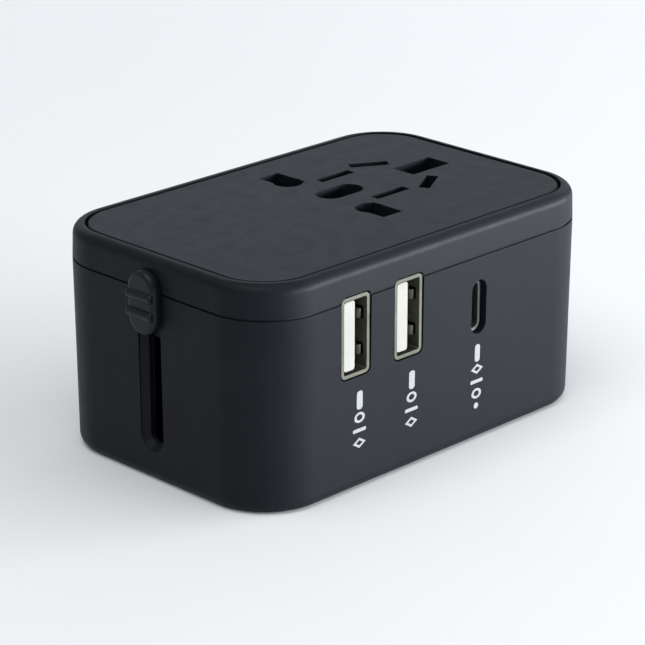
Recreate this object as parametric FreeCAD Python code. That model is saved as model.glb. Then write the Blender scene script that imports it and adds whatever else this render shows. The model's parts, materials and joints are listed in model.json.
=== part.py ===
import FreeCAD, Part
import os
from math import cos, radians, sin
from FreeCAD import Vector

# Universal travel adapter, in millimetres.
# The origin is the middle of the base. +Z is up, towards the socket plate. +X points to the
# UK earth hole, and the USB ports look along -Y. Every plug set is drawn retracted.

# ---- casing ----
LENGTH = 78.0
WIDTH = 50.5
HEIGHT = 37.6
CORNER_R = 11.0
PARTING_Z = 32.3
WALL = 2.2
FLOOR = 2.2
BASE_R = 1.9            # rounding round the base
RIM_R = 1.7             # rounding on the top edge
LOWER_DRAFT = 0.008     # the lower casing narrows downwards
UPPER_DRAFT = 0.04      # the upper casing narrows upwards
ROUND_STEPS = 6
PARTING_GROOVE = (0.35, 0.35)     # height and depth of the line between the casings

# ---- socket plate ----
RIM_WIDTH = 2.1
GROOVE = 0.45
PLATE_TOP = HEIGHT - 0.1
PLATE_BOTTOM = 35.1
LEDGE_BOTTOM = 33.7
LEDGE_INSET = 4.8

# ---- socket holes, seen from above; the pattern is symmetric about y = SOCKET_Y ----
SOCKET_Y = 2.5
POWER_X = 2.9           # line of the UK and EU power holes
UK_OFFSET = 11.1        # UK power pins stand 22.2 apart
EU_OFFSET = 9.5         # EU power pins stand 19.0 apart
UK_SLOT = (4.3, 6.6)
EU_HOLE_R = 2.5
US_OFFSET = 6.35        # US blades stand 12.7 apart
US_SLOT = (7.6, 1.8)
US_X = 10.7
AU_OFFSET = 6.86
AU_SLOT = (6.8, 1.95)
AU_X = 19.4
AU_ANGLE = 30.0
MID_EARTH = (5.3, 9.1, 4.75)     # centre x, length, width of the round-ended earth hole
UK_EARTH_SLOT = (25.05, 8.9, 4.8)

# ---- contact housing and contacts ----
HOUSING_X0 = -1.6
HOUSING_SKIN = 0.9
HOUSING_BOTTOM = 16.6
EARTH_BOTTOM = 12.8
LEAF = 0.4              # thickness of the stamped contacts
SHEET = 0.35            # thickness of the USB springs
JAW_TOP = 32.5
POLE_Z = 17.7
EARTH_Z = 13.9
TAIL_X = 0.4            # each contact has a tail, soldered to the power board
TAIL_WIDTH = 1.6
TAIL_OFFSET = 9.6

# ---- USB ports on the front ----
FRONT_Y = -WIDTH / 2
USB_A_X = (-19.25, -7.4)
USB_A_Z = 26.1
USB_A_SHELL = (6.2, 13.25)
USB_A_GAP = 0.25
USB_A_WALL = 0.6        # sheet and rolled lip together
USB_A_CORNER = 0.9
USB_A_FRONT = FRONT_Y + 0.2
SPRING_OFFSET = 3.0
SPRING_WIDTH = 1.6
SPRING_WINDOW = (0.8, 5.5)       # from the front of the shell to each end of a spring's cut-out
TONGUE_X = (0.9, 3.2)   # from the -X side of the shell
TONGUE_Z = (-5.55, 5.8)          # from the middle of the port
TONGUE_SETBACK = 0.3
TONGUE_CORNER = 0.45
CONTACT_Z = (-3.5, -1.0, 1.0, 3.5)
USB_C_X = 9.15
USB_C_Z = 23.45
USB_C_SHELL = (3.2, 8.95)
USB_C_GAP = 0.15
USB_C_WALL = 0.55
USB_C_FRONT = FRONT_Y + 1.3
BOARD_FRONT = -15.1
BOARD_THICK = 1.2
BOARD_BACK = BOARD_FRONT + BOARD_THICK

# ---- sliders ----
TRAVEL = 20.5
CARRIAGE_Z = 23.6       # underside of every carriage, retracted
CARRIAGE_THICK = 4.0
CARRIAGE_TOP = CARRIAGE_Z + CARRIAGE_THICK
RISER_TOP = 34.0
RISER_HALF = 2.3
SLOT_WIDTH = 5.2        # at the face
SLOT_Z = (5.1, 35.0)
SLOT_LIP = 0.4          # the lip is upright this far in from the widest outline, then
SLOT_SLOPE = 1.0        # the slot narrows by this on every side, at 45 degrees
KNOB_Z = 30.4           # middle of each knob, retracted
KNOB_LENGTH = 10.5
KNOB_WIDTH = 6.3
KNOB_PROUD = 1.8
KNOB_ROUND = 0.9
KNOB_GAP = 0.2
RIB_Z = (-1.65, 1.25)    # from the middle of the knob
RIB_R = 0.85
RIB_LENGTH = 5.7
RIB_PROUD = 0.6         # above the face of the knob
STEM_WIDTH = 2.4
STEM_HEIGHT = 5.0
RAIL_DEPTH = 1.1        # how far the guide rails stand off the wall
RUN_GAP = 0.05          # radial clearance of a turning journal
HOLE_GAP = 0.25         # clearance of a pin in the base

US_Y = 0.4
US_PITCH = 12.7
US_CENTRE_X = -24.65
US_BLADE = (1.5, 6.35)
US_TIP_Z = 2.5
BLADE_SWING = 30.0

EU_Y = 17.0
EU_PITCH = 19.0
EU_CENTRE_X = -21.2
EU_PIN_R = 2.0
EU_TIP_Z = 1.5

UK_X = -5.4
UK_Y = 7.4
UK_PITCH = 22.2
UK_POWER_PIN = (4.0, 6.35)
UK_POWER_CORE = (2.8, 4.6)
UK_EARTH_PIN = (8.0, 4.0)
UK_EARTH_CORE = (5.0, 2.4)
UK_TIP_Z = 2.8
UK_EARTH_TIP_Z = 0.5
SLEEVE_LENGTH = 9.5

# ---- screws ----
SCREWS = ((32.2, 18.5), (32.2, -18.5), (-32.2, -18.5))
PILLAR_R = 2.6
PILLAR_BOTTOM = 8.0

# ---- power board, under the contact housing ----
POWER_Z = 3.6
POWER_THICK = 1.2
POWER_TOP = POWER_Z + POWER_THICK
STANDS = ((2.0, -10.0), (2.0, 13.0), (33.0, -10.0), (33.0, 13.0))
TRANSFORMER = (11.0, 12.4)
INPUT_CANS = ((26.2, -8.0, 3.9, 11.4), (18.0, -8.0, 3.9, 11.0))     # x, y, radius, height
OUTPUT_CANS = ((5.0, -7.0, 2.9, 7.0), (11.2, -8.4, 2.9, 7.0))
CAN_ROUND = 0.4
RECTIFIER = (24.0, 8.6)
FUSE_X = 33.4
FUSE_Z = 11.0
FUSE_R = 2.4
FUSE_CAP_R = 2.6

os.makedirs("parts", exist_ok=True)


def save(name, shape):
    """Writes one node, and says so if it isn't made of closed valid solids."""
    solids = shape.Solids
    if not solids or not shape.isValid():
        print("CHECK", name, len(solids), shape.isValid())
    whole = solids[0] if len(solids) == 1 else Part.makeCompound(solids)
    whole.exportStep("parts/" + name + ".step")
    print(name, len(solids), round(sum(s.Volume for s in solids), 2))


def box(x0, x1, y0, y1, z0, z1):
    return Part.makeBox(x1 - x0, y1 - y0, z1 - z0, Vector(x0, y0, z0))


def block(x, y, size_x, size_y, z0, z1):
    """A box given by the middle of its plan."""
    return box(x - size_x / 2, x + size_x / 2, y - size_y / 2, y + size_y / 2, z0, z1)


def rod(x, y, radius, z0, z1):
    return Part.makeCylinder(radius, z1 - z0, Vector(x, y, z0))


def fuse(shapes):
    first = shapes[0]
    if len(shapes) == 1:
        return first
    return first.multiFuse(shapes[1:]).removeSplitter()


def turned(shape, x, y, angle):
    copy = shape.copy()
    copy.rotate(Vector(x, y, 0), Vector(0, 0, 1), angle)
    return copy


def rounded_wire(half_x, half_y, radius, z):
    """A rectangle with round corners, as a wire in the plane at z."""
    corners = ((1, 1, 0), (-1, 1, 90), (-1, -1, 180), (1, -1, 270))
    arcs = []
    for sign_x, sign_y, start in corners:
        centre = Vector(sign_x * (half_x - radius), sign_y * (half_y - radius), z)
        points = []
        for turn in (0, 45, 90):
            angle = radians(start + turn)
            points.append(centre + Vector(radius * cos(angle), radius * sin(angle), 0))
        arcs.append(points)
    edges = []
    for index, points in enumerate(arcs):
        edges.append(Part.Arc(*points).toShape())
        following = arcs[(index + 1) % len(arcs)]
        edges.append(Part.makeLine(points[2], following[0]))
    return Part.Wire(edges)


def casing_wire(inset, z):
    return rounded_wire(LENGTH / 2 - inset, WIDTH / 2 - inset, CORNER_R - inset, z)


def casing_loft(levels):
    """A solid through casing outlines; each level is (inset, z)."""
    return Part.makeLoft([casing_wire(inset, z) for inset, z in levels], True, True)


def obround(x, y, length, width, z0, z1):
    """A round-ended bar along X."""
    straight = (length - width) / 2
    middle = block(x, y, 2 * straight, width, z0, z1)
    return fuse([middle, rod(x - straight, y, width / 2, z0, z1),
                 rod(x + straight, y, width / 2, z0, z1)])


def front_obround(x, z, width, height, y0, y1):
    """A round-ended bar, upright, that runs along Y."""
    straight = (height - width) / 2
    parts = [box(x - width / 2, x + width / 2, y0, y1, z - straight, z + straight)]
    for end in (-straight, straight):
        parts.append(Part.makeCylinder(width / 2, y1 - y0, Vector(x, y0, z + end), Vector(0, 1, 0)))
    return fuse(parts)


def rounded_bar(x, z, width, height, radius, y0, y1):
    """A bar along Y whose long edges are rounded."""
    bar = box(x - width / 2, x + width / 2, y0, y1, z - height / 2, z + height / 2)
    return bar.makeFillet(radius, [edge for edge in bar.Edges if edge.BoundBox.YLength > y1 - y0 - 0.01])


def side_outline(half_width, z_low, z_high, depth):
    """A round-ended upright outline about y = 0, in the plane x = -depth."""
    low, high = z_low + half_width, z_high - half_width

    def at(y, z):
        return Vector(-depth, y, z)

    return Part.Wire([Part.makeLine(at(-half_width, low), at(-half_width, high)),
                      Part.Arc(at(-half_width, high), at(0, z_high), at(half_width, high)).toShape(),
                      Part.makeLine(at(half_width, high), at(half_width, low)),
                      Part.Arc(at(half_width, low), at(0, z_low), at(-half_width, low)).toShape()])


def side_pill(half_width, z_low, z_high, depth0, depth1):
    """A round-ended upright bar on the -X face, from depth0 to depth1 along -X, about y = 0."""
    return Part.Face(side_outline(half_width, z_low, z_high, depth0)).extrude(Vector(depth0 - depth1, 0, 0))


def onto_end(shape):
    """Moves a shape from the y = 0 plane to the US/AU slider's place on the -X end."""
    copy = shape.copy()
    copy.translate(Vector(0, US_Y, 0))
    return copy


def onto_back(shape, x):
    """Turns a shape made for the -X end onto the +Y face, at the given x."""
    copy = shape.copy()
    copy.translate(Vector(LENGTH / 2, 0, 0))
    copy.rotate(Vector(0, 0, 0), Vector(0, 0, 1), -90)
    copy.translate(Vector(x, WIDTH / 2, 0))
    return copy


def on_each_wall(shape):
    """The same shape at the US/AU, EU and UK sliders."""
    return [onto_end(shape), onto_back(shape, EU_CENTRE_X), onto_back(shape, UK_X)]


# ---------------------------------------------------------------- plug set geometry

def us_axes():
    return [(US_CENTRE_X - US_PITCH / 2, US_Y), (US_CENTRE_X + US_PITCH / 2, US_Y)]


def eu_axes():
    return [(EU_CENTRE_X - EU_PITCH / 2, EU_Y), (EU_CENTRE_X + EU_PITCH / 2, EU_Y)]


def uk_power_axes():
    return [(UK_X, UK_Y + UK_PITCH / 2), (UK_X, UK_Y - UK_PITCH / 2)]


def uk_earth_axis():
    return (UK_X - UK_PITCH, UK_Y)


def bow_tie(x, y, sign, z0, z1):
    """The opening that lets a blade come out straight or twisted."""
    wide = US_BLADE[0] + 0.7
    long = US_BLADE[1] + 0.7
    steps = [turned(block(x, y, wide, long, z0, z1), x, y, sign * BLADE_SWING * part / 4)
             for part in range(5)]
    return fuse(steps)


def pin_openings(z0, z1):
    """Every hole in the base that a pin passes through."""
    holes = []
    for (x, y), sign in zip(us_axes(), (1, -1)):
        holes.append(bow_tie(x, y, sign, z0, z1))
    for x, y in eu_axes():
        holes.append(rod(x, y, EU_PIN_R + HOLE_GAP, z0, z1))
    for x, y in uk_power_axes():
        holes.append(block(x, y, UK_POWER_PIN[0] + 2 * HOLE_GAP, UK_POWER_PIN[1] + 2 * HOLE_GAP, z0, z1))
    x, y = uk_earth_axis()
    holes.append(block(x, y, UK_EARTH_PIN[0] + 2 * HOLE_GAP, UK_EARTH_PIN[1] + 2 * HOLE_GAP, z0, z1))
    return holes


# ---------------------------------------------------------------- casing

def slider_slots():
    """The three upright slots, through the walls; each narrows inward from its lip."""
    low, high = SLOT_Z
    half = SLOT_WIDTH / 2
    lip = LENGTH / 2 - SLOT_LIP
    throat = lip - SLOT_SLOPE
    narrow = (half - SLOT_SLOPE, low + SLOT_SLOPE, high - SLOT_SLOPE)
    slope = Part.makeLoft([side_outline(half, low, high, lip), side_outline(*narrow, throat)], True, True)
    slot = fuse([side_pill(half, low, high, lip, LENGTH / 2 + 1), slope,
                 side_pill(*narrow, LENGTH / 2 - WALL - 0.3, throat)])
    return on_each_wall(slot)


def usb_windows():
    outside, inside = FRONT_Y - 1, FRONT_Y + WALL + 0.5
    width, height = (size + 2 * USB_A_GAP for size in USB_A_SHELL)
    windows = [rounded_bar(x, USB_A_Z, width, height, USB_A_CORNER + USB_A_GAP, outside, inside)
               for x in USB_A_X]
    width, height = (size + 2 * USB_C_GAP for size in USB_C_SHELL)
    windows.append(front_obround(USB_C_X, USB_C_Z, width, height, outside, inside))
    return windows


def lower_casing():
    draft = LOWER_DRAFT * PARTING_Z
    levels = []
    for step in range(ROUND_STEPS + 1):
        angle = radians(90 * step / ROUND_STEPS)
        levels.append((draft + BASE_R * (1 - sin(angle)), BASE_R * (1 - cos(angle))))
    levels.append((0.0, PARTING_Z))
    outside = casing_loft(levels)
    inside = casing_loft([(WALL, FLOOR), (WALL, PARTING_Z + 1)])
    shell = outside.cut(inside)
    bosses = [rod(x, y, PILLAR_R + 0.3, FLOOR - 0.5, PILLAR_BOTTOM) for x, y in SCREWS]
    stands = [rod(x, y, 1.4, FLOOR - 0.5, POWER_Z) for x, y in STANDS]
    shell = fuse([shell] + bosses + stands)
    height, depth = PARTING_GROOVE
    low, high = PARTING_Z - height, PARTING_Z + 1
    groove = casing_loft([(-1, low), (-1, high)]).cut(casing_loft([(depth, low - 1), (depth, high + 1)]))
    cuts = slider_slots() + usb_windows() + pin_openings(-1, FLOOR + 0.5) + [groove]
    for x, y in SCREWS:
        cuts.append(rod(x, y, 2.4, -1, 2.0))
        cuts.append(rod(x, y, 1.4, -1, PILLAR_BOTTOM + 1))
    return shell.cut(Part.makeCompound(cuts))


def upper_casing():
    rise = HEIGHT - PARTING_Z
    top_inset = UPPER_DRAFT * (rise - RIM_R)
    levels = [(0.0, PARTING_Z)]
    for step in range(ROUND_STEPS + 1):
        angle = radians(90 * step / ROUND_STEPS)
        levels.append((top_inset + RIM_R * (1 - cos(angle)), HEIGHT - RIM_R * (1 - sin(angle))))
    band = casing_loft(levels)
    band = band.cut(casing_loft([(RIM_WIDTH, PLATE_BOTTOM), (RIM_WIDTH, HEIGHT + 1)]))
    band = band.cut(casing_loft([(LEDGE_INSET, PARTING_Z - 1), (LEDGE_INSET, HEIGHT)]))
    band = band.cut(casing_loft([(WALL, PARTING_Z - 1), (WALL, LEDGE_BOTTOM)]))
    pillars = [rod(x, y, PILLAR_R, PILLAR_BOTTOM, PLATE_BOTTOM) for x, y in SCREWS]
    band = fuse([band] + pillars)
    cuts = slider_slots() + usb_windows()
    wall = -LENGTH / 2 + WALL
    notch = box(wall - 0.1, -LENGTH / 2 + LEDGE_INSET + 0.4, -3.2, 3.2, PARTING_Z - 1, PLATE_BOTTOM)
    cuts += on_each_wall(notch)
    cuts += [rod(x, y, 1.0, PILLAR_BOTTOM - 1, 18.0) for x, y in SCREWS]
    return band.cut(Part.makeCompound(cuts))


def case_screw(x, y):
    head = rod(x, y, 2.1, 0.35, 1.85)
    cross = fuse([block(x, y, 2.4, 0.6, 0, 1.0), block(x, y, 0.6, 2.4, 0, 1.0)])
    return fuse([head.cut(cross), rod(x, y, 0.95, 1.8, 15.0)])


# ---------------------------------------------------------------- socket

def power_hole(sign, z0, z1, grow=0.0):
    """A UK slot merged with the EU round hole on its inner side."""
    uk = block(POWER_X, SOCKET_Y + sign * UK_OFFSET, UK_SLOT[0] + 2 * grow, UK_SLOT[1] + 2 * grow, z0, z1)
    eu = rod(POWER_X - 0.2, SOCKET_Y + sign * EU_OFFSET, EU_HOLE_R + grow, z0, z1)
    return fuse([uk, eu])


def socket_holes(z0, z1):
    holes = []
    for sign in (-1, 1):
        holes.append(power_hole(sign, z0, z1))
        holes.append(block(US_X, SOCKET_Y + sign * US_OFFSET, US_SLOT[0], US_SLOT[1], z0, z1))
        slot = block(AU_X, SOCKET_Y + sign * AU_OFFSET, AU_SLOT[0], AU_SLOT[1], z0, z1)
        holes.append(turned(slot, AU_X, SOCKET_Y + sign * AU_OFFSET, -sign * AU_ANGLE))
    x, length, width = MID_EARTH
    holes.append(obround(x, SOCKET_Y, length, width, z0, z1))
    x, length, width = UK_EARTH_SLOT
    holes.append(block(x, SOCKET_Y, length, width, z0, z1))
    return holes


def socket_plate():
    inset = RIM_WIDTH + GROOVE
    edge = 0.25
    plate = casing_loft([(inset, PLATE_BOTTOM), (inset, PLATE_TOP - edge), (inset + edge, PLATE_TOP)])
    return plate.cut(Part.makeCompound(socket_holes(PLATE_BOTTOM - 1, PLATE_TOP + 1)))


def contact_housing():
    top = PLATE_BOTTOM
    y = SOCKET_Y
    outside = fuse([
        box(HOUSING_X0, 24.0, y - 11.6, y + 11.6, HOUSING_BOTTOM, top),
        box(HOUSING_X0, 6.9, y - 15.9, y + 15.9, HOUSING_BOTTOM, top),
        box(HOUSING_X0, 31.2, y - 4.2, y + 4.2, EARTH_BOTTOM, top)])
    inner_x = HOUSING_X0 + HOUSING_SKIN
    wells = [box(inner_x, 30.3, y - 3.3, y + 3.3, EARTH_BOTTOM + HOUSING_SKIN, top + 1)]
    tail_hole = (LEAF + 0.6, TAIL_WIDTH + 0.4)
    wells.append(block(TAIL_X, y, *tail_hole, EARTH_BOTTOM - 1, top))
    for sign in (-1, 1):
        wells.append(block(TAIL_X, y + sign * TAIL_OFFSET, *tail_hole, HOUSING_BOTTOM - 1, top))
        low, high = sorted((y + sign * 3.9, y + sign * 10.7))
        wells.append(box(inner_x, 23.1, low, high, HOUSING_BOTTOM + HOUSING_SKIN, top + 1))
        low, high = sorted((y + sign * 6.0, y + sign * 15.0))
        wells.append(box(inner_x, 6.0, low, high, HOUSING_BOTTOM + HOUSING_SKIN, top + 1))
    return outside.cut(Part.makeCompound(wells))


def pole_contact(sign):
    """One stamped contact: a strip with jaws for the UK and EU pins, the US and the AU blades."""
    def strip(x0, x1, near, far):
        low, high = sorted((SOCKET_Y + sign * near, SOCKET_Y + sign * far))
        return box(x0, x1, low, high, POLE_Z, POLE_Z + LEAF)

    pieces = [strip(-0.6, 5.5, 7.0, 14.4), strip(5.0, 22.3, 4.4, 10.2)]
    for x in (-0.6, 5.5 - LEAF):
        low, high = sorted((SOCKET_Y + sign * 8.4, SOCKET_Y + sign * 14.0))
        pieces.append(box(x, x + LEAF, low, high, POLE_Z, JAW_TOP))
    for side in (-1, 1):
        y = SOCKET_Y + sign * US_OFFSET + side * 1.25
        pieces.append(block(US_X, y, 5.0, LEAF, POLE_Z, JAW_TOP))
        middle = SOCKET_Y + sign * AU_OFFSET
        jaw = block(AU_X, middle + side * 1.2, 4.0, LEAF, POLE_Z, JAW_TOP)
        pieces.append(turned(jaw, AU_X, middle, -sign * AU_ANGLE))
    pieces.append(block(TAIL_X, SOCKET_Y + sign * TAIL_OFFSET, LEAF, TAIL_WIDTH, POWER_TOP, POLE_Z + LEAF))
    return fuse(pieces)


def earth_contact():
    """One stamped strip with jaws under the round-ended hole and under the UK earth hole."""
    pieces = [box(0.2, 29.5, SOCKET_Y - 3.1, SOCKET_Y + 3.1, EARTH_Z, EARTH_Z + LEAF)]
    for x, length in ((MID_EARTH[0], 6.0), (UK_EARTH_SLOT[0], 7.0)):
        for side in (-1, 1):
            pieces.append(block(x, SOCKET_Y + side * 2.9, length, LEAF, EARTH_Z, JAW_TOP))
    pieces.append(block(TAIL_X, SOCKET_Y, LEAF, TAIL_WIDTH, POWER_TOP, EARTH_Z + LEAF))
    return fuse(pieces)


# ---------------------------------------------------------------- USB

def shell_spring(x, inward, bulge, end, z):
    """A finger cut from the shell's wall at x, rooted at y = end, that bends inward."""
    outer = [(0, end + 0.1), (0, end - 0.4), (bulge - 0.2, end - 3.3), (bulge, end - 3.7),
             (bulge, end - 4.1), (bulge - 0.3, end - 4.5)]
    inner = [(depth + SHEET, y) for depth, y in reversed(outer)]
    outline = outer + inner
    low = z - SPRING_WIDTH / 2
    wire = Part.makePolygon([Vector(x + inward * depth, y, low) for depth, y in outline + outline[:1]])
    return Part.Face(wire).extrude(Vector(0, 0, SPRING_WIDTH))


def usb_a_shell(x):
    """The shell of a type A port, open at the front, with its spring cut-outs."""
    width, height = USB_A_SHELL
    outside = rounded_bar(x, USB_A_Z, width, height, USB_A_CORNER, USB_A_FRONT, BOARD_FRONT)
    inside = rounded_bar(x, USB_A_Z, width - 2 * USB_A_WALL, height - 2 * USB_A_WALL,
                         USB_A_CORNER - USB_A_WALL, USB_A_FRONT - 1, BOARD_FRONT - USB_A_WALL)
    shell = outside.cut(inside)
    start, end = (USB_A_FRONT + step for step in SPRING_WINDOW)
    springs = []
    for z in (USB_A_Z - SPRING_OFFSET, USB_A_Z + SPRING_OFFSET):
        window = SPRING_WIDTH / 2 + 0.2
        shell = shell.cut(box(x - width, x + width, start, end, z - window, z + window))
        springs.append(shell_spring(x + width / 2, -1, 1.15, end, z))
        springs.append(shell_spring(x - width / 2, 1, 0.3, end, z))
    return fuse([shell] + springs)


def usb_a_tongue(x):
    """The insulating tongue, on the -X side of the shell, with its back block."""
    width, height = USB_A_SHELL
    left = x - width / 2
    near, far = TONGUE_X
    low, high = TONGUE_Z
    front, root = USB_A_FRONT + TONGUE_SETBACK, BOARD_FRONT - 3.0
    tongue = rounded_bar(left + (near + far) / 2, USB_A_Z + (low + high) / 2, far - near, high - low,
                         TONGUE_CORNER, front, root)
    inner = USB_A_WALL + 0.05
    back = box(left + inner, left + width - inner, root, BOARD_FRONT - inner,
               USB_A_Z - height / 2 + inner + 0.2, USB_A_Z + height / 2 - inner - 0.2)
    return fuse([tongue, back])


def usb_a_contacts(x):
    near = x - USB_A_SHELL[0] / 2 + TONGUE_X[1]
    front, root = USB_A_FRONT + 1.2, BOARD_FRONT - 3.0
    return Part.makeCompound([box(near, near + 0.25, front, root, USB_A_Z + z - 0.45, USB_A_Z + z + 0.45)
                              for z in CONTACT_Z])


def usb_c_shell():
    width, height = USB_C_SHELL
    outside = front_obround(USB_C_X, USB_C_Z, width, height, USB_C_FRONT, BOARD_FRONT)
    inside = front_obround(USB_C_X, USB_C_Z, width - 2 * USB_C_WALL, height - 2 * USB_C_WALL,
                           USB_C_FRONT - 1, BOARD_FRONT - 0.4)
    return outside.cut(inside)


def usb_c_tongue():
    root = BOARD_FRONT - 2.0
    half_thick, half_height = 0.35, 3.3
    tongue = box(USB_C_X - half_thick, USB_C_X + half_thick, USB_C_FRONT + 0.7, root,
                 USB_C_Z - half_height, USB_C_Z + half_height)
    width, height = (size - 2 * USB_C_WALL - 0.1 for size in USB_C_SHELL)
    back = front_obround(USB_C_X, USB_C_Z, width, height, root, BOARD_FRONT - 0.4)
    return fuse([tongue, back])


def usb_board():
    board = box(-26.5, 15.5, BOARD_FRONT, BOARD_BACK, 5.2, 33.4)
    holes = [Part.makeCylinder(0.9, 4, Vector(x, BOARD_FRONT - 1, z), Vector(0, 1, 0))
             for x in (-25.0, 14.0) for z in (7.0, 31.8)]
    return board.cut(Part.makeCompound(holes))


def controller_chip():
    body = box(-4.0, 1.0, BOARD_FRONT - 1.5, BOARD_FRONT - 0.1, 9.0, 14.0)
    legs = []
    for step in range(6):
        z = 9.6 + step * 0.75
        legs.append(box(-4.8, 1.8, BOARD_FRONT - 0.2, BOARD_FRONT, z, z + 0.35))
    return fuse([body] + legs)


def board_inductor():
    body = box(4.0, 10.0, BOARD_FRONT - 3.2, BOARD_FRONT, 7.5, 13.5)
    dimple = Part.makeCylinder(2.2, 1, Vector(7.0, BOARD_FRONT - 3.4, 10.5), Vector(0, 1, 0))
    return body.cut(dimple)


def board_capacitors():
    """Two can capacitors that stand out from the USB board."""
    cans = []
    for x in (-21.5, -12.5):
        can = Part.makeCylinder(3.1, 7.4, Vector(x, BOARD_FRONT - 7.4, 11.5), Vector(0, 1, 0))
        front = [edge for edge in can.Edges if edge.BoundBox.YMax < BOARD_FRONT - 7]
        cans.append(can.makeFillet(CAN_ROUND, front))
    return Part.makeCompound(cans)


def board_link():
    """The row of pins that joins the USB board to the power board."""
    bar = box(2.0, 12.0, BOARD_BACK, BOARD_BACK + 2.3, 5.6, 8.0)
    pins = [block(3.2 + step * 2.0, BOARD_BACK + 1.8, 0.5, 0.4, POWER_TOP, 5.8) for step in range(5)]
    return fuse([bar] + pins)


# ---------------------------------------------------------------- power supply

def power_board():
    return box(-1.0, 36.2, -12.4, 15.2, POWER_Z, POWER_TOP)


def transformer():
    """Core and winding, as a pair of shapes."""
    x, y = TRANSFORMER
    low = POWER_TOP
    frame = block(x, y, 13.0, 5.2, low + 0.2, low + 11.0)
    window = block(x, y, 8.6, 6.0, low + 2.6, low + 8.6)
    leg = block(x, y, 3.4, 5.2, low + 1.0, low + 10.0)
    core = fuse([frame.cut(window), leg])
    coil = block(x, y, 8.2, 8.6, low + 2.9, low + 8.3)
    winding = coil.cut(block(x, y, 3.6, 5.4, low + 1.0, low + 10.0))
    return core, winding


def can(x, y, radius, height):
    body = rod(x, y, radius, POWER_TOP, POWER_TOP + height)
    top = [edge for edge in body.Edges if edge.BoundBox.ZMin > POWER_TOP + height - 0.5]
    return body.makeFillet(CAN_ROUND, top)


def rectifier():
    x, y = RECTIFIER
    body = block(x, y, 6.0, 4.6, POWER_TOP + 0.8, POWER_TOP + 3.2)
    legs = [block(x + side_x, y + side_y, 0.6, 0.9, POWER_TOP, POWER_TOP + 1.0)
            for side_x in (-2.0, 2.0) for side_y in (-2.0, 2.0)]
    return fuse([body] + legs)


def fuse_rod(radius, y0, y1):
    """A round bar on the fuse's axis."""
    return Part.makeCylinder(radius, y1 - y0, Vector(FUSE_X, y0, FUSE_Z), Vector(0, 1, 0))


def fuse_body():
    return fuse_rod(FUSE_R, -6.0, 6.0)


def fuse_caps():
    return Part.makeCompound([fuse_rod(FUSE_CAP_R, -10.0, -6.0), fuse_rod(FUSE_CAP_R, 6.0, 10.0)])


def fuse_clips():
    clips = []
    for y in (-8.0, 8.0):
        ring = fuse_rod(FUSE_CAP_R + LEAF, y - 1.3, y + 1.3).cut(fuse_rod(FUSE_CAP_R, y - 2, y + 2))
        ring = ring.cut(box(FUSE_X - 1.5, FUSE_X + 1.5, y - 2, y + 2, FUSE_Z, FUSE_Z + 4))
        leg = box(FUSE_X - 0.6, FUSE_X + 0.6, y - 1.3, y + 1.3, POWER_TOP, FUSE_Z - 2.7)
        clips.append(fuse([ring, leg]))
    return Part.makeCompound(clips)


def busbar(y, x0, tabs):
    """A strip on the floor, with an upright tab beside each pin that it feeds."""
    pieces = [box(x0, 0.6, y - 0.6, y + 0.6, FLOOR + 0.05, FLOOR + 0.5),
              box(0.2, 0.6, y - 0.6, y + 0.6, FLOOR + 0.05, POWER_Z)]
    for x, side_y in tabs:
        low, high = sorted((side_y, y))
        pieces.append(box(x - 0.8, x + 0.8, low, high, FLOOR + 0.05, FLOOR + 0.5))
    return fuse(pieces)


# ---------------------------------------------------------------- sliders

def rail_pair():
    """The guide channel behind the end slider's slot, about y = 0."""
    back = -LENGTH / 2 + WALL
    rails = []
    for side in (-1, 1):
        low, high = sorted((side * (RISER_HALF + 0.15), side * (RISER_HALF + 1.35)))
        rails.append(box(back, back + RAIL_DEPTH, low, high, FLOOR, PLATE_BOTTOM - 2.0))
    foot = box(back, back + RAIL_DEPTH, -RISER_HALF - 1.35, RISER_HALF + 1.35, FLOOR, FLOOR + 0.7)
    return fuse(rails + [foot])


def knob():
    """The thumb knob about y = 0: a rounded pill with two ribs across it."""
    face = LENGTH / 2 + KNOB_PROUD
    half = KNOB_LENGTH / 2
    pill = side_pill(KNOB_WIDTH / 2, KNOB_Z - half, KNOB_Z + half, LENGTH / 2 + KNOB_GAP, face)
    pill = pill.makeFillet(KNOB_ROUND, [edge for edge in pill.Edges if edge.BoundBox.XMax < 0.1 - face])
    ribs = []
    for offset in RIB_Z:
        end = Vector(RIB_R - RIB_PROUD - face, -RIB_LENGTH / 2, KNOB_Z + offset)
        rib = Part.makeCylinder(RIB_R, RIB_LENGTH, end, Vector(0, 1, 0))
        ribs.append(rib.makeFillet(RIB_R / 2, [edge for edge in rib.Edges if edge.BoundBox.YLength < 0.01]))
    return fuse([pill] + ribs)


def stem():
    """The riser and the stem that joins a carriage to its knob, about y = 0."""
    back = -LENGTH / 2 + WALL + 0.2
    riser = box(back, back + 1.7, -RISER_HALF, RISER_HALF, CARRIAGE_Z, RISER_TOP)
    bar = box(-LENGTH / 2 - KNOB_GAP, back + 0.5, -STEM_WIDTH / 2, STEM_WIDTH / 2,
              KNOB_Z - STEM_HEIGHT / 2, KNOB_Z + STEM_HEIGHT / 2)
    return fuse([riser, bar])


def us_carriage():
    low, high = CARRIAGE_Z, CARRIAGE_TOP
    left = -LENGTH / 2 + WALL + 1.8
    right = us_axes()[1][0]
    pieces = [onto_end(stem()), box(left, right, US_Y - 3.2, US_Y + 3.2, low, high)]
    pieces += [rod(x, y, 3.9, low, high) for x, y in us_axes()]
    body = fuse(pieces)
    for x, y in us_axes():
        body = body.cut(rod(x, y, 1.6 + RUN_GAP, low - 1, high + 1))
    return body


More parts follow.
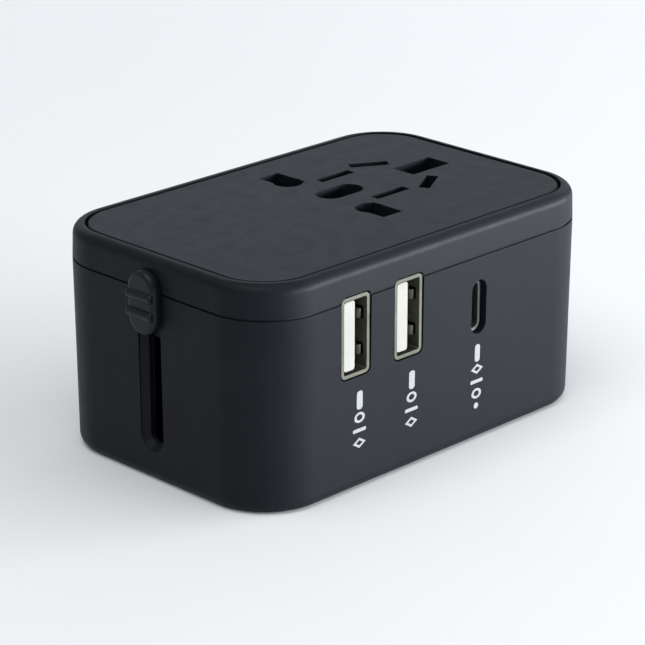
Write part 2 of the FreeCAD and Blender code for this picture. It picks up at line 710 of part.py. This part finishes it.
def us_blade(x, y):
    """A flat blade with a round collar, a journal that turns in the carriage, and a head on top."""
    width, depth = US_BLADE
    blade = block(x, y, width, depth, US_TIP_Z, CARRIAGE_Z - 0.4)
    tip = box(x - width, x + width, y - depth / 2, y + depth / 2, US_TIP_Z, US_TIP_Z + 6)
    corners = [edge for edge in tip.Edges
               if edge.BoundBox.ZMax < US_TIP_Z + 0.1 and edge.BoundBox.XLength > width]
    keep = tip.makeFillet(1.6, corners)
    lower = blade.common(box(x - width, x + width, y - depth, y + depth, US_TIP_Z, US_TIP_Z + 6)).common(keep)
    upper = blade.cut(box(x - width, x + width, y - depth, y + depth, 0, US_TIP_Z + 6))
    hole = Part.makeCylinder(1.6, 4 * width, Vector(x - 2 * width, y, US_TIP_Z + 4.2), Vector(1, 0, 0))
    collar = rod(x, y, 3.1, CARRIAGE_Z - 0.6, CARRIAGE_Z - 0.1)
    journal = rod(x, y, 1.6, CARRIAGE_Z - 0.2, CARRIAGE_TOP + 0.2)
    head = rod(x, y, 2.5, CARRIAGE_TOP + 0.1, CARRIAGE_TOP + 0.9)
    return fuse([lower, upper, collar, journal, head]).cut(hole)


def eu_carriage():
    low, high = CARRIAGE_Z, CARRIAGE_TOP
    (x0, y0), (x1, y1) = eu_axes()
    back = WIDTH / 2 - WALL - 1.0
    pieces = [onto_back(stem(), EU_CENTRE_X), box(x0, x1, EU_Y - 2.5, EU_Y + 2.5, low, high),
              box(EU_CENTRE_X - RISER_HALF, EU_CENTRE_X + RISER_HALF, EU_Y, back, low, high)]
    pieces += [rod(x, y, 2.7, low, high) for x, y in eu_axes()]
    body = fuse(pieces)
    return body.cut(Part.makeCompound([rod(x, y, 1.5, low - 1, high + 1) for x, y in eu_axes()]))


def eu_pin(x, y):
    """A round pin: full size below its sleeve, thinner inside it."""
    tip = EU_TIP_Z + EU_PIN_R
    neck = CARRIAGE_Z - SLEEVE_LENGTH
    return fuse([Part.makeSphere(EU_PIN_R, Vector(x, y, tip)), rod(x, y, EU_PIN_R, tip, neck),
                 rod(x, y, 1.5, neck, CARRIAGE_TOP + 0.2), rod(x, y, 2.3, CARRIAGE_TOP, CARRIAGE_TOP + 0.9)])


def eu_sleeve(x, y):
    neck = CARRIAGE_Z - SLEEVE_LENGTH
    return rod(x, y, EU_PIN_R, neck, CARRIAGE_Z).cut(rod(x, y, 1.5, neck - 1, CARRIAGE_Z + 1))


def uk_carriage():
    low, high = CARRIAGE_Z, CARRIAGE_TOP
    earth_x, earth_y = uk_earth_axis()
    half_bar = UK_PITCH / 2 + 3.0
    pieces = [onto_back(stem(), UK_X),
              box(UK_X - 2.6, UK_X + 2.6, UK_Y - half_bar, UK_Y + half_bar, low, high),
              box(UK_X - RISER_HALF, UK_X + RISER_HALF, UK_Y, WIDTH / 2 - WALL - 0.4, low, high),
              box(earth_x, UK_X, UK_Y - 1.4, UK_Y + 1.4, low, high),
              block(earth_x, earth_y, UK_EARTH_PIN[0] + 1.6, UK_EARTH_PIN[1] + 1.6, low, high)]
    body = fuse(pieces)
    cuts = [block(x, y, *UK_POWER_CORE, low - 1, high + 1) for x, y in uk_power_axes()]
    cuts.append(block(earth_x, earth_y, *UK_EARTH_CORE, low - 1, high + 1))
    return body.cut(Part.makeCompound(cuts))


def flat_pin(x, y, size, core, tip_z, neck_z):
    """A rectangular pin with a bevelled tip, and a core that goes up through its carriage."""
    size_x, size_y = size
    core_x, core_y = core
    bevel = 0.8
    outline = [Part.makePlane(size_x - 2 * bevel, size_y - 2 * bevel,
                              Vector(x - size_x / 2 + bevel, y - size_y / 2 + bevel, tip_z)).OuterWire,
               Part.makePlane(size_x, size_y, Vector(x - size_x / 2, y - size_y / 2, tip_z + 1.2)).OuterWire]
    tip = Part.makeLoft(outline, True, True)
    return fuse([tip, block(x, y, size_x, size_y, tip_z + 1.2, neck_z),
                 block(x, y, core_x, core_y, neck_z, CARRIAGE_TOP),
                 block(x, y, core_x + 0.6, core_y + 0.6, CARRIAGE_TOP, CARRIAGE_TOP + 0.8)])


def uk_power_pin(x, y):
    return flat_pin(x, y, UK_POWER_PIN, UK_POWER_CORE, UK_TIP_Z, CARRIAGE_Z - SLEEVE_LENGTH)


def uk_sleeve(x, y):
    neck = CARRIAGE_Z - SLEEVE_LENGTH
    outside = block(x, y, *UK_POWER_PIN, neck, CARRIAGE_Z)
    return outside.cut(block(x, y, *UK_POWER_CORE, neck - 1, CARRIAGE_Z + 1))


def detent_spring(x, y, along_x):
    """A leaf that stands on the floor beside a carriage, with a hump for each end of the travel."""
    leaf = 0.3
    low = FLOOR
    humps = (CARRIAGE_Z - TRAVEL + CARRIAGE_THICK + 0.8, CARRIAGE_Z + CARRIAGE_THICK + 0.8)
    points = [(0, low), (0, humps[0] - 1.2), (0.5, humps[0]), (0, humps[0] + 1.2),
              (0, humps[1] - 1.2), (0.5, humps[1]), (0, humps[1] + 1.2)]
    back = [(depth - leaf, z) for depth, z in reversed(points)]
    outline = points + back
    wire = Part.makePolygon([Vector(depth, -1.5, z) for depth, z in outline + outline[:1]])
    spring = Part.Face(wire).extrude(Vector(0, 3.0, 0))
    spring.rotate(Vector(0, 0, 0), Vector(0, 0, 1), along_x)
    spring.translate(Vector(x, y, 0))
    return spring


# ---------------------------------------------------------------- build

save("lower_casing", lower_casing())
save("upper_casing", upper_casing())
save("socket_plate", socket_plate())
save("case_screws", Part.makeCompound([case_screw(x, y) for x, y in SCREWS]))
save("contact_housing", contact_housing())
save("live_contact", pole_contact(-1))
save("neutral_contact", pole_contact(1))
save("earth_contact", earth_contact())

for side, port_x in zip(("left", "right"), USB_A_X):
    save("usb_a_shell_" + side, usb_a_shell(port_x))
    save("usb_a_tongue_" + side, usb_a_tongue(port_x))
    save("usb_a_contacts_" + side, usb_a_contacts(port_x))
save("usb_c_shell", usb_c_shell())
save("usb_c_tongue", usb_c_tongue())
save("usb_board", usb_board())
save("controller_chip", controller_chip())
save("board_inductor", board_inductor())
save("board_capacitors", board_capacitors())
save("board_link", board_link())

save("power_board", power_board())
transformer_core, transformer_winding = transformer()
save("transformer_core", transformer_core)
save("transformer_winding", transformer_winding)
save("input_capacitors", Part.makeCompound([can(*size) for size in INPUT_CANS]))
save("output_capacitors", Part.makeCompound([can(*size) for size in OUTPUT_CANS]))
save("rectifier", rectifier())
save("fuse_body", fuse_body())
save("fuse_caps", fuse_caps())
save("fuse_clips", fuse_clips())
save("live_busbar", busbar(12.6, -33.0, [(EU_CENTRE_X - EU_PITCH / 2, 14.4)]))
save("neutral_busbar", busbar(-8.6, -33.0, [(US_CENTRE_X, -4.0)]))

for name, guide in zip(("us_guide", "eu_guide", "uk_guide"), on_each_wall(rail_pair())):
    save(name, guide)
for name, thumb in zip(("us_knob", "eu_knob", "uk_knob"), on_each_wall(knob())):
    save(name, thumb)

save("us_carriage", us_carriage())
for side, (blade_x, blade_y) in zip(("left", "right"), us_axes()):
    save("us_blade_" + side, us_blade(blade_x, blade_y))
save("us_detent_spring", detent_spring(US_CENTRE_X, US_Y - 3.8, 90))

save("eu_carriage", eu_carriage())
save("eu_pins", Part.makeCompound([eu_pin(x, y) for x, y in eu_axes()]))
save("eu_pin_sleeves", Part.makeCompound([eu_sleeve(x, y) for x, y in eu_axes()]))
save("eu_detent_spring", detent_spring(EU_CENTRE_X, EU_Y - 3.1, 90))

save("uk_carriage", uk_carriage())
save("uk_power_pins", Part.makeCompound([uk_power_pin(x, y) for x, y in uk_power_axes()]))
save("uk_pin_sleeves", Part.makeCompound([uk_sleeve(x, y) for x, y in uk_power_axes()]))
save("uk_earth_pin", flat_pin(*uk_earth_axis(), UK_EARTH_PIN, UK_EARTH_CORE, UK_EARTH_TIP_Z, CARRIAGE_Z))
save("uk_detent_spring", detent_spring(-14.0, UK_Y - 2.0, 90))
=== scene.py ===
import json
from math import cos, pi, radians, sin

import bmesh
import bpy
from mathutils import Matrix, Vector


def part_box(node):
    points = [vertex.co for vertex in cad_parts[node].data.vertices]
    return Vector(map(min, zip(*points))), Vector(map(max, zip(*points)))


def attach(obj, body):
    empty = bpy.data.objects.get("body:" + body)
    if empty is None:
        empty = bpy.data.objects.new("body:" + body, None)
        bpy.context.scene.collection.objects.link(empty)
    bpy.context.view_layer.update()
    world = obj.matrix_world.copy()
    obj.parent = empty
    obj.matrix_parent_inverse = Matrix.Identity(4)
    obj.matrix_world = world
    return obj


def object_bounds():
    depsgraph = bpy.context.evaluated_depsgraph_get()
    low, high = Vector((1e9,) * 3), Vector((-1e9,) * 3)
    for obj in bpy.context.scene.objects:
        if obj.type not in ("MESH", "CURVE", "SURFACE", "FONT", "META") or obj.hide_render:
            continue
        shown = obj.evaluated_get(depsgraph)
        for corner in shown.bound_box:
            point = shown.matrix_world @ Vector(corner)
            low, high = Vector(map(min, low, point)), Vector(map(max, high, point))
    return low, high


# Looks of the universal travel adapter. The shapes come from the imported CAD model, in metres.
# This script rounds their edges, gives every node its surface, prints the marks on the front
# and sets up the studio.

MM = 0.001

# ---- camera ----
CAMERA_AZIMUTH = -45.25     # degrees, 0 looks along +Y
CAMERA_ELEVATION = 20.72
CAMERA_DISTANCE = 456.75 * MM
CAMERA_LENS = 152.1         # mm
SENSOR_WIDTH = 36           # mm
CAMERA_NEAR = 10 * MM       # nothing closer than this is drawn
CAMERA_RISE = 15.42 * MM    # the camera's axis passes this far above the origin in its own
CAMERA_SIDE = -0.84 * MM    # picture, and this far to the right of it

# ---- rounding of moulded and stamped edges ----
MOULDED_EDGE = 0.16 * MM
PLATE_EDGE = 0.12 * MM
KNOB_EDGE = 0.28 * MM
STAMPED_EDGE = 0.05 * MM
SHARP_ANGLE = radians(32)   # edges that turn more than this are rounded
FLAT_ANGLE = radians(0.4)   # faces that turn less than this are made one
SAME_POINT = 0.001 * MM     # vertices closer than this are one

# ---- printed marks on the front ----
INK = 0.03 * MM             # how far the ink stands off the plastic
INK_BACK = 1.2              # thickness of the ink as a share of INK, so its back is in the plastic
TYPE_A_SHIFT = 0.92 * MM    # from the middle of a type A port to its marks
TYPE_A_BAR = (1.3 * MM, 3.1 * MM)
TYPE_A_BAR_TOP = 16.8 * MM
TYPE_A_SIGN_TOP = 13.2 * MM
TYPE_C_SHIFT = -0.12 * MM   # from the middle of the type C port to its marks
TYPE_C_BAR = (1.2 * MM, 3.0 * MM)
TYPE_C_BAR_TOP = 17.0 * MM
TYPE_C_SIGN_TOP = 13.6 * MM
BAR_CORNER = 0.5 * MM
SIGN_WIDTH = 2.9 * MM
SIGN_LENGTH = 1.75 * MM
SIGN_PITCH = 2.15 * MM

# ---- studio ----
FLOOR_REACH = 3.0           # metres from the middle of the floor to its edge
ROOM_COLOUR = (0.95, 0.97, 1.0)
ROOM_STRENGTH = 0.39
COOL_LIGHT = (0.94, 0.98, 1.0)
BLUE_LIGHT = (0.8, 0.9, 1.0)

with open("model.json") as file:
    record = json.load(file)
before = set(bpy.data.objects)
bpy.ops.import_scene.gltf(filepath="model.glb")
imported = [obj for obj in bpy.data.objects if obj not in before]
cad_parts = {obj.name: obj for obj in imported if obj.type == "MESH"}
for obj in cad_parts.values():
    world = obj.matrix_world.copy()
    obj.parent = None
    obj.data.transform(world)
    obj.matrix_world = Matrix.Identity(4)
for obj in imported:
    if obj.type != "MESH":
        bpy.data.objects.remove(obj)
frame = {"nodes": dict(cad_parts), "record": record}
nodes = frame["nodes"]
cad_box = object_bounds()


# ---------------------------------------------------------------- surfaces

NOISE_ROUGHNESS = 0.55
LENGTHWISE = (1, 1, 0.08)   # draws a pattern out along Z
ACROSS = (1, 0.08, 1)       # draws a pattern out along Y


def new_surface(name):
    material = bpy.data.materials.new(name)
    material.use_nodes = True
    tree = material.node_tree
    return material, tree, tree.nodes["Principled BSDF"]


def link(tree, source, target):
    tree.links.new(source, target)


def pattern(tree, kind, scale, stretch=(1, 1, 1)):
    """A texture in the object's own metres, so many features per metre; stretch scales each axis."""
    place = tree.nodes.new("ShaderNodeTexCoord")
    mapping = tree.nodes.new("ShaderNodeMapping")
    mapping.inputs["Scale"].default_value = stretch
    texture = tree.nodes.new(kind)
    texture.inputs["Scale"].default_value = scale
    link(tree, place.outputs["Object"], mapping.inputs["Vector"])
    link(tree, mapping.outputs["Vector"], texture.inputs["Vector"])
    return texture


def noise(tree, scale, detail=3.0, stretch=(1, 1, 1)):
    texture = pattern(tree, "ShaderNodeTexNoise", scale, stretch)
    texture.inputs["Detail"].default_value = detail
    texture.inputs["Roughness"].default_value = NOISE_ROUGHNESS
    return texture.outputs["Fac"]


def cells(tree, scale):
    return pattern(tree, "ShaderNodeTexVoronoi", scale).outputs["Distance"]


def bands(tree, scale, direction, distortion):
    texture = pattern(tree, "ShaderNodeTexWave", scale)
    texture.bands_direction = direction
    texture.inputs["Distortion"].default_value = distortion
    return texture.outputs["Fac"]


def between(tree, factor, low, high):
    """Spreads the middle of a 0 to 1 factor, where most of a noise lies, from low to high."""
    spread = tree.nodes.new("ShaderNodeMapRange")
    spread.inputs["From Min"].default_value = 0.3
    spread.inputs["From Max"].default_value = 0.7
    spread.inputs["To Min"].default_value = low
    spread.inputs["To Max"].default_value = high
    link(tree, factor, spread.inputs["Value"])
    return spread.outputs["Result"]


def tint(tree, factor, first, second):
    ramp = tree.nodes.new("ShaderNodeValToRGB")
    ramp.color_ramp.elements[0].position = 0.35
    ramp.color_ramp.elements[1].position = 0.65
    ramp.color_ramp.elements[0].color = (*first, 1)
    ramp.color_ramp.elements[1].color = (*second, 1)
    link(tree, factor, ramp.inputs["Fac"])
    return ramp.outputs["Color"]


def relief(tree, shader, height, depth):
    """Adds a bump of this depth, in metres, on top of any earlier bump."""
    bump = tree.nodes.new("ShaderNodeBump")
    bump.inputs["Distance"].default_value = depth
    link(tree, height, bump.inputs["Height"])
    earlier = shader.inputs["Normal"].links
    if earlier:
        link(tree, earlier[0].from_socket, bump.inputs["Normal"])
    link(tree, bump.outputs["Normal"], shader.inputs["Normal"])


def moulded(name, dark, light, roughness, grain, depth, specular=0.5):
    """Moulded plastic: fine spark-eroded grain, and faint flow marks in colour and gloss."""
    material, tree, shader = new_surface(name)
    link(tree, tint(tree, noise(tree, 90, 4), dark, light), shader.inputs["Base Color"])
    link(tree, between(tree, noise(tree, 320, 5), *roughness), shader.inputs["Roughness"])
    relief(tree, shader, noise(tree, grain, 2), depth)
    relief(tree, shader, cells(tree, grain * 0.45), depth * 0.5)
    shader.inputs["Specular IOR Level"].default_value = specular
    return material


def plated(name, dark, light, roughness, stretch, scratch_depth):
    """Rolled or plated metal, with fine lines along its length and a few dull patches."""
    material, tree, shader = new_surface(name)
    shader.inputs["Metallic"].default_value = 1.0
    link(tree, tint(tree, noise(tree, 260, 4), dark, light), shader.inputs["Base Color"])
    link(tree, between(tree, noise(tree, 900, 5, stretch), *roughness), shader.inputs["Roughness"])
    relief(tree, shader, noise(tree, 2600, 3, stretch), scratch_depth)
    return material


def laminate(name):
    """Circuit board: green solder mask over a faint glass weave."""
    material, tree, shader = new_surface(name)
    link(tree, tint(tree, noise(tree, 400, 4), (0.008, 0.085, 0.035), (0.014, 0.13, 0.055)),
         shader.inputs["Base Color"])
    link(tree, between(tree, noise(tree, 700), 0.28, 0.42), shader.inputs["Roughness"])
    for direction in ("X", "Z"):
        relief(tree, shader, bands(tree, 700, direction, 0.4), 0.004 * MM)
    return material


def wound_tape(name):
    """Yellow tape over the winding, in overlapping turns."""
    material, tree, shader = new_surface(name)
    link(tree, tint(tree, bands(tree, 260, "Z", 0.6), (0.62, 0.36, 0.03), (0.8, 0.52, 0.06)),
         shader.inputs["Base Color"])
    link(tree, between(tree, noise(tree, 500), 0.3, 0.5), shader.inputs["Roughness"])
    relief(tree, shader, bands(tree, 260, "Z", 0.6), 0.03 * MM)
    return material


def sintered(name, dark, light, roughness, grain, depth):
    """Ferrite or ceramic: a granular fired surface."""
    material, tree, shader = new_surface(name)
    link(tree, tint(tree, cells(tree, grain), dark, light), shader.inputs["Base Color"])
    link(tree, between(tree, noise(tree, 600, 4), *roughness), shader.inputs["Roughness"])
    relief(tree, shader, cells(tree, grain), depth)
    return material


BLUE_BLACK = ((0.0052, 0.0064, 0.0098), (0.0064, 0.0076, 0.0112))

# name of each material slot in the record: its surface
SURFACES = {
    "casing_plastic": moulded("casing_plastic", *BLUE_BLACK, (0.47, 0.53), 5200, 0.004 * MM, 0.13),
    "knob_plastic": moulded("knob_plastic", *BLUE_BLACK, (0.36, 0.42), 5200, 0.003 * MM, 0.2),
    "inner_plastic": moulded("inner_plastic", (0.006, 0.006, 0.007), (0.01, 0.01, 0.011),
                             (0.5, 0.62), 3600, 0.01 * MM),
    "sleeve_plastic": moulded("sleeve_plastic", (0.01, 0.01, 0.011), (0.014, 0.014, 0.015),
                              (0.36, 0.46), 4200, 0.005 * MM),
    "tongue_plastic": moulded("tongue_plastic", (0.33, 0.32, 0.295), (0.37, 0.36, 0.335),
                              (0.34, 0.44), 4200, 0.004 * MM),
    "black_tongue": moulded("black_tongue", (0.008, 0.008, 0.009), (0.013, 0.013, 0.014),
                            (0.34, 0.44), 4200, 0.004 * MM),
    "chip_plastic": moulded("chip_plastic", (0.012, 0.012, 0.013), (0.02, 0.02, 0.021),
                            (0.5, 0.64), 4800, 0.01 * MM),
    "contact_brass": plated("contact_brass", (0.62, 0.42, 0.16), (0.74, 0.54, 0.25),
                            (0.22, 0.38), LENGTHWISE, 0.003 * MM),
    "contact_gold": plated("contact_gold", (0.76, 0.52, 0.18), (0.86, 0.64, 0.28),
                           (0.16, 0.28), ACROSS, 0.002 * MM),
    "pin_nickel": plated("pin_nickel", (0.56, 0.54, 0.5), (0.66, 0.65, 0.62),
                         (0.16, 0.3), LENGTHWISE, 0.002 * MM),
    "port_nickel": plated("port_nickel", (0.10, 0.10, 0.083), (0.13, 0.13, 0.108),
                          (0.50, 0.62), ACROSS, 0.002 * MM),
    "can_aluminium": plated("can_aluminium", (0.6, 0.61, 0.62), (0.72, 0.73, 0.74),
                            (0.26, 0.4), LENGTHWISE, 0.003 * MM),
    "spring_steel": plated("spring_steel", (0.42, 0.42, 0.43), (0.54, 0.54, 0.55),
                           (0.22, 0.36), LENGTHWISE, 0.003 * MM),
    "board_laminate": laminate("board_laminate"),
    "winding_tape": wound_tape("winding_tape"),
    "ferrite": sintered("ferrite", (0.016, 0.015, 0.015), (0.035, 0.033, 0.032),
                        (0.5, 0.66), 2600, 0.02 * MM),
    "fuse_ceramic": sintered("fuse_ceramic", (0.66, 0.64, 0.58), (0.76, 0.74, 0.69),
                             (0.3, 0.42), 1900, 0.01 * MM),
}
# Steel for the type C shell: a lighter copy of the port metal. This is painted light, so the shell's
# rim shows brighter than the type A shells.
PAINTED_LIGHT_STEEL = plated("painted_light_steel", (0.17, 0.18, 0.18), (0.2, 0.21, 0.21),
                     (0.5, 0.6), ACROSS, 0.002 * MM)
INK_WHITE = moulded("ink_white", (0.26, 0.27, 0.275), (0.29, 0.30, 0.305),
                    (0.42, 0.55), 6200, 0.004 * MM)


for part in frame["record"]["subparts"]:
    for place in nodes[part["node"]].material_slots:
        place.material = SURFACES[part["material_slot"]]
for place in nodes["usb_c_shell"].material_slots:      # painted light: a lighter copy of the port metal, brighter than the type A shells
    place.material = PAINTED_LIGHT_STEEL


# ---------------------------------------------------------------- edges

def round_edges(name, width, segments=2):
    """Breaks the sharp edges of a CAD node as a mould or a press tool does."""
    item = nodes[name]
    weld = item.modifiers.new("weld", "WELD")
    weld.merge_threshold = SAME_POINT
    flat = item.modifiers.new("flat", "DECIMATE")
    flat.decimate_type = "DISSOLVE"
    flat.angle_limit = FLAT_ANGLE
    bevel = item.modifiers.new("bevel", "BEVEL")
    bevel.width = width
    bevel.segments = segments
    bevel.limit_method = "ANGLE"
    bevel.angle_limit = SHARP_ANGLE
    bevel.use_clamp_overlap = True
    smooth = item.modifiers.new("smooth", "WEIGHTED_NORMAL")
    smooth.mode = "FACE_AREA"      # the large flat faces keep their own shading


for name in ("lower_casing", "upper_casing"):
    round_edges(name, MOULDED_EDGE)
round_edges("socket_plate", PLATE_EDGE)
for name in ("us_knob", "eu_knob", "uk_knob"):
    round_edges(name, KNOB_EDGE, 3)
for name in ("usb_a_shell_left", "usb_a_shell_right", "usb_a_tongue_left", "usb_a_tongue_right"):
    round_edges(name, STAMPED_EDGE)


# ---------------------------------------------------------------- printed marks

def front_y(x, z):
    """Where the front of the lower casing is, found from well in front of it."""
    start = Vector((x, cad_box[0].y - 10 * MM, z))
    return nodes["lower_casing"].ray_cast(start, Vector((0, 1, 0)))[1].y


def rounded_outline(width, height, radius, steps=6):
    points = []
    for sign_x, sign_z, start in ((1, 1, 0), (-1, 1, 90), (-1, -1, 180), (1, -1, 270)):
        for step in range(steps + 1):
            turn = radians(start + 90 * step / steps)
            points.append((sign_x * (width / 2 - radius) + radius * cos(turn),
                           sign_z * (height / 2 - radius) + radius * sin(turn)))
    return points


def polygon_outline(size_x, size_z, sides):
    turns = [2 * pi * side / sides for side in range(sides)]
    return [(size_x / 2 * cos(turn), size_z / 2 * sin(turn)) for turn in turns]


def filled(outline):
    return [outline], [tuple(range(len(outline)))]


def ring(outer, share):
    """The loops and faces of a flat ring whose hole is this share of its size."""
    count = len(outer)
    inner = [(x * share, z * share) for x, z in outer]
    faces = [(side, (side + 1) % count, count + (side + 1) % count, count + side)
             for side in range(count)]
    return [outer, inner], faces


def print_mark(name, shapes):
    """Raised ink on the front; shapes are (middle x, middle z, (loops, faces))."""
    mesh = bmesh.new()
    for x, z, (loops, faces) in shapes:
        slope = (front_y(x, z + MM) - front_y(x, z - MM)) / (2 * MM)
        base = front_y(x, z)
        flat = [point for loop in loops for point in loop]
        points = [mesh.verts.new((x + dx, base + slope * dz - INK, z + dz)) for dx, dz in flat]
        made = [mesh.faces.new([points[index] for index in face]) for face in faces]
        bmesh.ops.recalc_face_normals(mesh, faces=made)
        grown = bmesh.ops.extrude_face_region(mesh, geom=made)
        backs = [item for item in grown["geom"] if isinstance(item, bmesh.types.BMVert)]
        bmesh.ops.translate(mesh, verts=backs, vec=(0, INK * INK_BACK, 0))
    bmesh.ops.recalc_face_normals(mesh, faces=mesh.faces)
    data = bpy.data.meshes.new(name)
    mesh.to_mesh(data)
    mesh.free()
    data.materials.append(INK_WHITE)
    item = bpy.data.objects.new(name, data)
    bpy.context.scene.collection.objects.link(item)
    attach(item, "casing")


def middle_x(name):
    low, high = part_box(name)
    return (low.x + high.x) / 2


def bar_sign():
    return filled(rounded_outline(SIGN_WIDTH, SIGN_LENGTH * 0.34, SIGN_LENGTH * 0.12))


def ring_sign():
    return ring(polygon_outline(SIGN_WIDTH * 0.8, SIGN_LENGTH, 32), 0.55)


def diamond_sign():
    return ring(polygon_outline(SIGN_WIDTH, SIGN_LENGTH, 4), 0.5)


def dot_sign():
    return filled(polygon_outline(SIGN_LENGTH * 0.6, SIGN_LENGTH * 0.6, 24))


def port_marks(name, x, bar_size, bar_top, sign_top, signs):
    """One bar with a run of plain signs under it."""
    bar = filled(rounded_outline(*bar_size, BAR_CORNER))
    shapes = [(x, bar_top - bar_size[1] / 2, bar)]
    for index, sign in enumerate(signs):
        shapes.append((x, sign_top - SIGN_LENGTH / 2 - index * SIGN_PITCH, sign()))
    print_mark(name, shapes)


for side in ("left", "right"):
    port_marks("port_marks_" + side, middle_x("usb_a_shell_" + side) + TYPE_A_SHIFT, TYPE_A_BAR,
               TYPE_A_BAR_TOP, TYPE_A_SIGN_TOP, (ring_sign, bar_sign, diamond_sign))
port_marks("port_marks_c", middle_x("usb_c_shell") + TYPE_C_SHIFT, TYPE_C_BAR,
           TYPE_C_BAR_TOP, TYPE_C_SIGN_TOP, (diamond_sign, bar_sign, ring_sign, dot_sign))


# ---------------------------------------------------------------- studio

def around(azimuth, elevation):
    """The direction from the object to something at this azimuth and elevation."""
    a, e = radians(azimuth), radians(elevation)
    return Vector((sin(a) * cos(e), -cos(a) * cos(e), sin(e)))


def floor():
    """A pale sheet with a faint paper grain."""
    data = bpy.data.meshes.new("floor")
    corners = [(x * FLOOR_REACH, y * FLOOR_REACH, 0) for x, y in ((-1, -1), (1, -1), (1, 1), (-1, 1))]
    data.from_pydata(corners, [], [(0, 1, 2, 3)])
    material, tree, shader = new_surface("floor_paper")
    link(tree, tint(tree, noise(tree, 9, 4), (0.80, 0.81, 0.82), (0.81, 0.82, 0.83)),
         shader.inputs["Base Color"])
    shader.inputs["Roughness"].default_value = 0.9
    shader.inputs["Specular IOR Level"].default_value = 0.1
    data.materials.append(material)
    item = bpy.data.objects.new("floor", data)
    bpy.context.scene.collection.objects.link(item)


def softbox(name, azimuth, elevation, distance, size, power, colour=(1, 1, 1)):
    """A rectangular lamp that faces the object; metres and watts."""
    light = bpy.data.lights.new(name, "AREA")
    light.shape = "RECTANGLE"
    light.size, light.size_y = size
    light.energy = power
    light.color = colour
    item = bpy.data.objects.new(name, light)
    direction = around(azimuth, elevation)
    item.location = direction * distance
    item.rotation_mode = "QUATERNION"
    item.rotation_quaternion = direction.to_track_quat("Z", "Y")
    bpy.context.scene.collection.objects.link(item)


def camera():
    back = around(CAMERA_AZIMUTH, CAMERA_ELEVATION)
    right = (-back).cross(Vector((0, 0, 1))).normalized()
    up = right.cross(-back)
    data = bpy.data.cameras.new("camera")
    data.lens = CAMERA_LENS
    data.sensor_width = SENSOR_WIDTH
    data.clip_start = CAMERA_NEAR
    item = bpy.data.objects.new("camera", data)
    stand = CAMERA_SIDE * right + CAMERA_RISE * up + CAMERA_DISTANCE * back
    aim = back.to_track_quat("Z", "Y").to_matrix().to_4x4()
    item.matrix_world = Matrix.Translation(stand) @ aim
    bpy.context.scene.collection.objects.link(item)
    bpy.context.scene.camera = item


def room():
    world = bpy.data.worlds.new("room")
    world.use_nodes = True
    background = world.node_tree.nodes["Background"]
    background.inputs["Color"].default_value = (*ROOM_COLOUR, 1)
    background.inputs["Strength"].default_value = ROOM_STRENGTH
    bpy.context.scene.world = world


floor()
room()
softbox("key", 36, 6, 0.7, (0.9, 0.2), 15, COOL_LIGHT)
softbox("side", 62, 38, 1.4, (0.5, 0.5), 2.0)
softbox("side_back", 100, 33, 1.4, (0.5, 0.5), 1.0)
softbox("overhead", -75, 66, 2.0, (1.6, 1.6), 21)
softbox("back", 138, 24, 1.0, (1.2, 0.5), 1.6, BLUE_LIGHT)
camera()
bpy.context.scene.view_settings.view_transform = "Standard"
